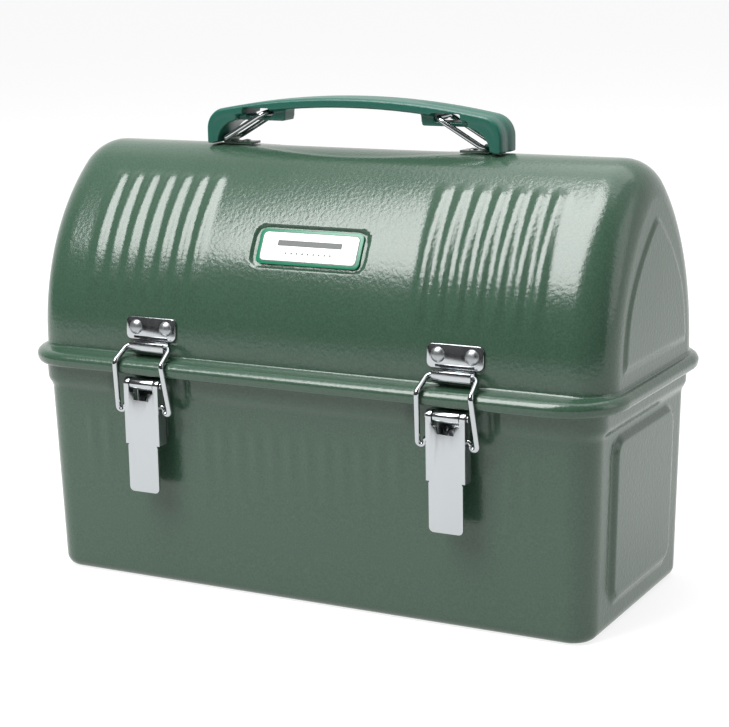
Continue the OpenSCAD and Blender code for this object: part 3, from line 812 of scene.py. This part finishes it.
def bent_wire(name, path, radius, bend, body, slot, replaced, closed=True):
    """A wire piece along a path, in place of its CAD node."""
    edges = [(i, i + 1) for i in range(len(path) - 1)]
    if closed:
        edges.append((len(path) - 1, 0))
    made = run_group(name, bent_wire_group(), path, edges, {
        "Wire radius": radius, "Bend radius": bend, "Material": material("drawn_wire")})
    return finish_piece(made, body, slot, *replaced)


def rivets(name, places, radius, height, facing, body, replaced):
    """A set of rivet heads in place of a CAD node."""
    made = run_group(name, rivet_group(), places, [], {
        "Head radius": radius, "Head height": height, "Facing": facing, "Material": material("satin_rivet")})
    return finish_piece(made, body, "zinc_steel", *replaced)


# ---------------------------------------------------------------- latches

CATCH_LEAN = math.radians(4.7)
LEAF_LEAN = math.radians(4.3)
WALL_LEAN = -math.radians(1.53)
CATCH_RIVETS = (8.9 * MM, -66.2 * MM, 135.3 * MM)
MOUNT_RIVETS_Z = (84.5 * MM, 98 * MM)


class LUNCHBOX_OT_latches(bpy.types.Operator):
    """Build both draw latches: catch plates, loops, levers, mounts, pins and rivets"""

    bl_idname = "lunchbox.latches"
    bl_label = "Latches"

    def execute(self, context):
        sizes = context.scene.lunch_hardware
        for (side, _), middle in zip(LATCH_SIDES, latch_places()):
            for kind in ("latch_lever", "latch_mount", "latch_pin"):
                soften(f"{kind}_{side}", "bright_plate", "zinc_steel")
            self.catch(sizes, side, middle)
            self.loop(sizes, side, middle)
        spread, y, z = CATCH_RIVETS
        heads = [(x + s * spread, y, z) for x in latch_places() for s in (-1, 1)]
        facing = (0, -math.cos(CATCH_LEAN), math.sin(CATCH_LEAN))
        rivets("catch_rivet_heads", heads, 3.75 * MM, 1.8 * MM, facing, "lid", ["catch_rivets"])
        heads = [(x, -mount_front(z), z) for x in latch_places() for z in MOUNT_RIVETS_Z]
        facing = (0, -math.cos(WALL_LEAN), math.sin(WALL_LEAN))
        rivets("mount_rivet_heads", heads, 2.6 * MM, 1.2 * MM, facing, "base", ["latch_mount_rivets"])
        return {"FINISHED"}

    def catch(self, sizes, side, middle):
        """A stamped catch plate with round corners and its hook bent out of one strip."""
        low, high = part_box(f"catch_plate_{side}")
        thick = 1.2 * MM
        height = 11.6 * MM
        c, s = math.cos(CATCH_LEAN), math.sin(CATCH_LEAN)
        foot = (-65.5 * MM, 129 * MM)

        def on_wall(u, v, d):
            along = v + height / 2
            return middle + u, foot[0] - d * c + along * s, foot[1] + d * s + along * c

        plate = prism(rounded_rectangle(high.x - low.x, height, 2.8 * MM), 0, thick, on_wall)
        lip = low.y + 0.55 * MM
        bottom = low.z + 0.6 * MM
        path = rounded_path([(foot[0] - thick / 2, 131 * MM), (foot[0] - thick / 2, bottom),
                             (lip, bottom), (lip, 128.4 * MM)], 1.1 * MM)
        half = 10.3 * MM
        hook = prism(strip_outline(path, 1.1 * MM), -half, half, lambda y, z, x: (middle + x, y, z))
        made = make_object(f"catch_plate_{side}_bent", *joined([plate, hook]), "bright_plate", 35)
        edged(made, sizes.edge)
        finish_piece(made, "lid", "zinc_steel", f"catch_plate_{side}")

    def loop(self, sizes, side, middle):
        """The sprung wire loop: upper bar in the hook, legs past the rim, hairpins at the lever."""
        low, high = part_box(f"latch_loop_{side}")
        pivot = joint(f"loop_{side}_hinge")["pos_m"]
        r = sizes.wire
        inner = 11.9 * MM
        outer = (high.x - low.x) / 2 - r
        bar_z = 126.2 * MM
        bar_y = -68.7 * MM
        knee_y = low.y + r
        half = [(inner, pivot[1], pivot[2]), (inner, pivot[1], low.z + r),
                (outer, pivot[1] - 0.6 * MM, low.z + r), (13.9 * MM, knee_y, 119.5 * MM),
                (13 * MM, bar_y, bar_z)]
        path = [(middle + x, y, z) for x, y, z in half]
        path += [(middle - x, y, z) for x, y, z in reversed(half)]
        bent_wire(f"loop_wire_{side}", path, r, sizes.bend, f"loop_{side}", "wire_steel",
                  [f"latch_loop_{side}"])


def mount_front(z):
    """Half depth of a latch mount's front face at a height."""
    sizes = bpy.context.scene.lunch_shell
    return sizes.tray_half_d - sizes.tray_draft / BAND_TOP * (BAND_TOP - z) + 1.43 * MM


def joint(name):
    """A joint of the record by name."""
    return next(j for j in frame["joints"] if j["name"] == name)


# ---------------------------------------------------------------- handle

class LUNCHBOX_OT_handle(bpy.types.Operator):
    """Build the carry handle: moulded grip, two wires, brackets and their rivets"""

    bl_idname = "lunchbox.handle"
    bl_label = "Handle"

    def execute(self, context):
        sizes = context.scene.lunch_hardware
        for side, sign in LATCH_SIDES:
            soften(f"handle_bracket_{side}", "baked_hammer_enamel", "enamel_green", 0.35 * MM)
            pivot = joint(f"wire_{side}_hinge")["pos_m"]
            low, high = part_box(f"handle_wire_{side}")
            near = high.x if sign < 0 else low.x
            bar = (near + sign * sizes.wire, high.z - sizes.wire)
            leg = high.y - sizes.wire
            path = [(pivot[0], -leg, pivot[2]), (pivot[0], leg, pivot[2]), (bar[0], leg, bar[1]),
                    (bar[0], -leg, bar[1])]
            bent_wire(f"handle_wire_{side}_bent", path, sizes.wire, sizes.bend, f"wire_{side}",
                      "wire_steel", [f"handle_wire_{side}"])
        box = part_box("handle_bracket_rivets")
        heads = [(s * (box[1].x - 2.4 * MM), 0, box[1].z - 1 * MM) for s in (-1, 1)]
        rivets("bracket_rivet_heads", heads, 2.4 * MM, 1 * MM, (0, 0, 1), "lid", ["handle_bracket_rivets"])
        self.grip()
        return {"FINISHED"}

    def grip(self):
        """The moulded grip: an arched strap with feet, gussets, and slotted webs under its ends."""
        low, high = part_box("handle_grip")
        strap = strap_sweep(low, high)
        parts = []
        for s in (-1, 1):
            arch = [(63 + 14.5 * math.sin(t), 224 + 12 * math.cos(t))
                    for t in np.linspace(math.pi / 2, 0.22, 10)]
            gusset = [(81.8, 224), (81.8, 235), (73, 239.5), (66, 241.5), (66, 236), *arch[::-1]]
            web = [(39.2, 236.2), (40, 235.7), (66, 235.7), (72, 238.5),
                   (66, 242), (44, 245.5), (38.2, 245.5)]
            for outline, half in ((gusset, 9.2), (web, 5.2)):
                points = [(s * u * MM, v * MM) for u, v in outline]
                parts.append(prism(points, -half * MM, half * MM, lambda u, v, d: (u, d, v)))
        solids = [make_object("grip_part", *part, "moulded_grip_plastic") for part in parts]
        made = make_object("handle_grip_moulded", *strap, "moulded_grip_plastic")
        for solid in solids:
            combine(made, solid, "UNION")
        for s in (-1, 1):
            slot = rounded_rectangle(16 * MM, 4.2 * MM, 1 * MM)
            cut = prism(slot, -12 * MM, 12 * MM, lambda u, v, d: (s * 54 * MM + u, d, 240.2 * MM + v))
            combine(made, make_object("grip_slot", *cut, "moulded_grip_plastic"), "DIFFERENCE")
        skin = made.modifiers.new("moulded_edges", "REMESH")
        skin.mode = "VOXEL"
        skin.voxel_size = 0.55 * MM
        soft = made.modifiers.new("soft", "SMOOTH")
        soft.iterations = 4
        soft.factor = 0.5
        baked(made)
        made.data.materials.clear()
        made.data.materials.append(material("moulded_grip_plastic"))
        made.data.shade_smooth()
        finish_piece(made, "grip", "grip_plastic", "handle_grip")


def combine(made, other, how):
    """Unites a piece with another solid or cuts the solid out of it."""
    cut = made.modifiers.new("combine", "BOOLEAN")
    cut.operation = how
    cut.solver = "EXACT"
    cut.object = other
    baked(made)
    bpy.data.objects.remove(other)


def strap_sweep(low, high):
    """The grip's arched strap, down both feet, with a shallow channel along its outside."""
    corner = 11 * MM
    drop = 6 * MM / (70 * MM) ** 2
    end = high.x
    width = (high.y - low.y) / 2
    bend_x = end - corner
    line = []
    lean = math.atan(2 * drop * (bend_x + corner * math.sin(math.atan(2 * drop * bend_x))))
    start_x = bend_x + corner * math.sin(lean)
    bend_z = high.z - drop * start_x ** 2 - corner * math.cos(lean)
    for x in np.linspace(0, start_x, 34)[:-1]:
        slope = math.atan(2 * drop * x)
        line.append((x, high.z - drop * x * x, math.sin(slope), math.cos(slope)))
    for t in np.linspace(lean, math.pi / 2, 14):
        line.append((bend_x + corner * math.sin(t), bend_z + corner * math.cos(t), math.sin(t), math.cos(t)))
    line.append((end, low.z + 2 * MM, 1, 0))
    line.append((end, low.z, 1, 0))
    left = [(-x, z, -nx, nz) for x, z, nx, nz in line[:0:-1]]
    verts = []
    across = np.linspace(-1, 1, 17)

    def rounding(v):
        """0 on the strap's flat, up to 1 at its very edge."""
        return (max(0, abs(v) - 0.84) / 0.16) ** 2

    for x, z, nx, nz in left + line:
        channel = 0.9 * MM * smooth(30 * MM, 48 * MM, abs(x))
        thick = 5 * MM - 0.4 * MM * smooth(60 * MM, 80 * MM, abs(x))
        depths = [(v, 0.96 * MM * rounding(v) + channel * math.exp(-(v * width / (2.1 * MM)) ** 2))
                  for v in across]
        depths += [(v, thick - 0.5 * MM * rounding(v)) for v in across[::-1]]
        verts += [(x - depth * nx, v * width, z - depth * nz) for v, depth in depths]
    n = 2 * len(across)
    rows = len(verts) // n
    faces = ring_faces(rows, n)
    faces.append(tuple(range(n))[::-1])
    faces.append(tuple(range((rows - 1) * n, rows * n)))
    return verts, faces


# ---------------------------------------------------------------- badge, hinges and bail

class LUNCHBOX_OT_badge(bpy.types.Operator):
    """Build the badge in its pocket, with a plain bar and dots in place of any lettering"""

    bl_idname = "lunchbox.badge"
    bl_label = "Badge"

    def execute(self, context):
        rim = self.plate("badge_rim", 58, 18.4, 3, -1.2, -0.4, "badge_paint")
        edged(rim, 0.2 * MM)
        finish_piece(rim, "lid", "badge_green", "badge_plate")
        face = self.plate("badge_front", 53.4, 14.6, 2, -0.45, -0.15, "badge_face_paint")
        edged(face, 0.08 * MM)
        finish_piece(face, "lid", "badge_white", "badge_face")
        line = self.plate("badge_keyline", 54.2, 15.4, 2.4, -0.45, -0.35, "badge_ink")
        finish_piece(line, "lid", "badge_green")
        marks = [self.slab(36, 3, 0.5, -0.16, -0.11, (0, 1.9))]
        marks += [self.slab(1.1, 1.1, 0.5, -0.16, -0.11, ((k - 4) * 3.1, -3.3)) for k in range(9)]
        made = make_object("badge_marks", *joined(marks), "badge_ink")
        finish_piece(made, "lid", "badge_green")
        return {"FINISHED"}

    def slab(self, width, height, radius, low, high, middle=(0, 0)):
        """A rounded plate on the sloping front of the dome, between two distances from its wall, in mm."""
        section = DomeSection(bpy.context.scene.lunch_shell)
        t = section.angle_at(BADGE_Z)

        def on_dome(u, v, d):
            out = section.side_r + d * MM
            along = (v + middle[1]) * MM
            return ((u + middle[0]) * MM, section.side_y - out * math.cos(t) + along * math.sin(t),
                    SIDE_FOOT + out * math.sin(t) + along * math.cos(t))

        return prism(rounded_rectangle(width, height, radius), low, high, on_dome)

    def plate(self, name, width, height, radius, low, high, material_name):
        """One flat layer of the badge."""
        return make_object(name, *self.slab(width, height, radius, low, high), material_name, 30)


class LUNCHBOX_OT_hinges(bpy.types.Operator):
    """Build the two rear hinges with their leaves, pins and rivets"""

    bl_idname = "lunchbox.hinges"
    bl_label = "Hinges"

    def execute(self, context):
        for side, _ in LATCH_SIDES:
            for kind in ("base_hinge_leaf", "lid_hinge_leaf"):
                soften(f"{kind}_{side}", "baked_hammer_enamel", "enamel_green", 0.3 * MM)
            soften(f"hinge_pin_{side}", "bright_plate", "zinc_steel")
        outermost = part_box("base_hinge_rivets")[1].x - 3 * MM
        places = [s * (outermost - k * 18 * MM) for s in (-1, 1) for k in range(3)]
        heads = [(x, mount_front(83 * MM) + 0.1 * MM, 83 * MM) for x in places]
        facing = (0, math.cos(WALL_LEAN), math.sin(WALL_LEAN))
        rivets("base_hinge_rivet_heads", heads, 3 * MM, 1.4 * MM, facing, "base", ["base_hinge_rivets"])
        heads = [(x, 66.46 * MM, 134 * MM) for x in places]
        facing = (0, math.cos(LEAF_LEAN), math.sin(LEAF_LEAN))
        rivets("lid_hinge_rivet_heads", heads, 3 * MM, 1.4 * MM, facing, "lid", ["lid_hinge_rivets"])
        return {"FINISHED"}


class LUNCHBOX_OT_bail(bpy.types.Operator):
    """Build the wire bail inside the dome with its clips and spring tab"""

    bl_idname = "lunchbox.bail"
    bl_label = "Bottle bail"

    def execute(self, context):
        sizes = context.scene.lunch_hardware
        low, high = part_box("bottle_bail")
        r = sizes.bail
        pivot = joint("bail_hinge")["pos_m"]
        x = high.x - r
        path = [(36 * MM, pivot[1], pivot[2]), (x, pivot[1], pivot[2]), (x, low.y + r, pivot[2]),
                (-x, low.y + r, pivot[2]), (-x, pivot[1], pivot[2]), (-36 * MM, pivot[1], pivot[2])]
        bent_wire("bottle_bail_wire", path, r, 5 * MM, "bail", "wire_steel", ["bottle_bail"], closed=False)
        for name in ("bail_clips", "bail_catch"):
            soften(name, "bright_plate", "zinc_steel")
        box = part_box("bail_clip_rivets")
        heads = [(s * (box[1].x - 2.4 * MM), 61.8 * MM, 135 * MM) for s in (-1, 1)]
        rivets("bail_clip_rivet_heads", heads, 2.4 * MM, 1 * MM, (0, -1, 0), "lid", ["bail_clip_rivets"])
        return {"FINISHED"}


# ---------------------------------------------------------------- stage

CAMERA_AZIMUTH = 28.27
CAMERA_ELEVATION = 12.51
CAMERA_ROLL = -1.1
CAMERA_DISTANCE = 1.0321
CAMERA_TARGET = (0, 0, 0.110)
CAMERA_LENS = 98.15


def aim(made, place, target):
    """Turns a light or card at a place towards a target."""
    made.location = place
    made.rotation_euler = (Vector(target) - Vector(place)).to_track_quat("-Z", "Y").to_euler()


def softbox(name, place, target, width, height, power):
    """A rectangular studio light."""
    data = bpy.data.lights.new(name, "AREA")
    data.shape = "RECTANGLE"
    data.size = width
    data.size_y = height
    data.energy = power
    made = bpy.data.objects.new(name, data)
    bpy.context.scene.collection.objects.link(made)
    aim(made, place, target)
    return made


class LUNCHBOX_OT_stage(bpy.types.Operator):
    """Set the camera, the pale floor and the studio light"""

    bl_idname = "lunchbox.stage"
    bl_label = "Stage"

    def execute(self, context):
        scene = context.scene
        self.camera(scene)
        self.floor()
        self.world(scene)
        middle = (0, 0, 0.13)
        softbox("front_left_softbox", (-0.41, -0.76, 1.49), middle, 0.85, 1.6, 52)
        softbox("top_softbox", (0.1, 0.5, 1.9), middle, 1.8, 1.4, 14)
        softbox("right_softbox", (1.9, 0.3, 0.8), middle, 0.9, 1.2, 4)
        self.flag()
        scene.view_settings.view_transform = "Standard"
        return {"FINISHED"}

    def camera(self, scene):
        """A long lens at the product's three-quarter view."""
        az, el, roll = (math.radians(v) for v in (CAMERA_AZIMUTH, CAMERA_ELEVATION, CAMERA_ROLL))
        back = Vector((math.sin(az) * math.cos(el), -math.cos(az) * math.cos(el), math.sin(el)))
        right = Vector((0, 0, 1)).cross(back).normalized()
        up = back.cross(right)
        c, s = math.cos(roll), math.sin(roll)
        right, up = right * c + up * s, up * c - right * s
        data = bpy.data.cameras.new("camera")
        data.lens = CAMERA_LENS
        data.sensor_width = 36
        data.shift_x = 0.0044
        data.shift_y = 0.0022
        made = bpy.data.objects.new("camera", data)
        scene.collection.objects.link(made)
        turn = Matrix((right, up, back)).transposed().to_4x4()
        made.matrix_world = Matrix.Translation(Vector(CAMERA_TARGET) + back * CAMERA_DISTANCE) @ turn
        scene.camera = made

    def floor(self):
        """A wide floor under the box, lit from within like a light table, so that it comes out near white."""
        reach = 30
        corners = [(-reach, -reach, 0), (reach, -reach, 0), (reach, reach, 0), (-reach, reach, 0)]
        _, shader = self.staged("floor", corners, [(0, 1, 2, 3)], "studio_light_table", "#8C8C8C")
        shader.inputs["Roughness"].default_value = 0.9
        shader.inputs["Specular IOR Level"].default_value = 0
        shader.inputs["Emission Color"].default_value = (1, 1, 1, 1)
        shader.inputs["Emission Strength"].default_value = 0.8

    def flag(self):
        """A low black band in front of the box, seen only in reflections, as a studio's flags are."""
        radius = 1.6
        height = 0.31
        turns = np.linspace(math.radians(-175), math.radians(-5), 40)
        low = [(radius * math.cos(t), radius * math.sin(t), 0.01) for t in turns]
        high = [(x, y, height) for x, y, _ in low]
        n = len(low)
        faces = [(i, i + 1, n + i + 1, n + i) for i in range(n - 1)]
        made, shader = self.staged("black_flag", low + high, faces, "black_cloth", "#101010")
        shader.inputs["Roughness"].default_value = 1
        made.visible_camera = False
        made.visible_diffuse = False
        made.visible_shadow = False

    def staged(self, name, verts, faces, material_name, hex_code):
        """A sheet of one colour that belongs to the stage, and the shader of its material."""
        mesh = bpy.data.meshes.new(name)
        mesh.from_pydata(verts, [], faces)
        made = bpy.data.objects.new(name, mesh)
        bpy.context.scene.collection.objects.link(made)
        finish = bpy.data.materials.new(material_name)
        finish.use_nodes = True
        shader = finish.node_tree.nodes["Principled BSDF"]
        shader.inputs["Base Color"].default_value = linear(hex_code)
        made.data.materials.append(finish)
        return made, shader

    def world(self, scene):
        """A studio that is white behind the box and darker in front of it."""
        made = bpy.data.worlds.new("studio")
        made.use_nodes = True
        tree = made.node_tree
        where = node(tree, "ShaderNodeTexCoord").outputs["Generated"]
        split = node(tree, "ShaderNodeSeparateXYZ", [("Vector", where)])
        level = node(tree, "ShaderNodeMapRange", [("Value", split.outputs["Y"]), ("From Min", -0.3),
                     ("From Max", 0.35), ("To Min", 0.1), ("To Max", 1.05)])
        back = tree.nodes["Background"]
        back.inputs["Color"].default_value = (1, 1, 1, 1)
        tree.links.new(level.outputs["Result"], back.inputs["Strength"])
        scene.world = made


# ---------------------------------------------------------------- add-on

class LUNCHBOX_PT_panel(bpy.types.Panel):
    """Buttons that build each group of pieces"""

    bl_idname = "LUNCHBOX_PT_panel"
    bl_label = "Lunch Box"
    bl_space_type = "VIEW_3D"
    bl_region_type = "UI"
    bl_category = "Lunch Box"

    def draw(self, context):
        for operator in OPERATORS:
            self.layout.operator(operator.bl_idname)
        for group in (context.scene.lunch_shell, context.scene.lunch_hardware, context.scene.lunch_finishes):
            for name in group.__annotations__:
                self.layout.prop(group, name)


GROUPS = (("lunch_shell", ShellSizes), ("lunch_hardware", HardwareSizes), ("lunch_finishes", Finishes))
OPERATORS = (LUNCHBOX_OT_stage, LUNCHBOX_OT_tray, LUNCHBOX_OT_lid, LUNCHBOX_OT_latches,
             LUNCHBOX_OT_handle, LUNCHBOX_OT_badge, LUNCHBOX_OT_hinges, LUNCHBOX_OT_bail)


def register():
    """Registers the classes and hangs the property groups on the scene."""
    for name, group in GROUPS:
        bpy.utils.register_class(group)
        setattr(bpy.types.Scene, name, PointerProperty(type=group))
    for operator in OPERATORS:
        bpy.utils.register_class(operator)
    bpy.utils.register_class(LUNCHBOX_PT_panel)


def unregister():
    """Undoes register."""
    bpy.utils.unregister_class(LUNCHBOX_PT_panel)
    for operator in reversed(OPERATORS):
        bpy.utils.unregister_class(operator)
    for name, group in reversed(GROUPS):
        delattr(bpy.types.Scene, name)
        bpy.utils.unregister_class(group)


def main():
    register()
    bpy.ops.lunchbox.stage()
    bpy.ops.lunchbox.tray()
    bpy.ops.lunchbox.lid()
    bpy.ops.lunchbox.latches()
    bpy.ops.lunchbox.handle()
    bpy.ops.lunchbox.badge()
    bpy.ops.lunchbox.hinges()
    bpy.ops.lunchbox.bail()


if __name__ == "__main__":
    main()
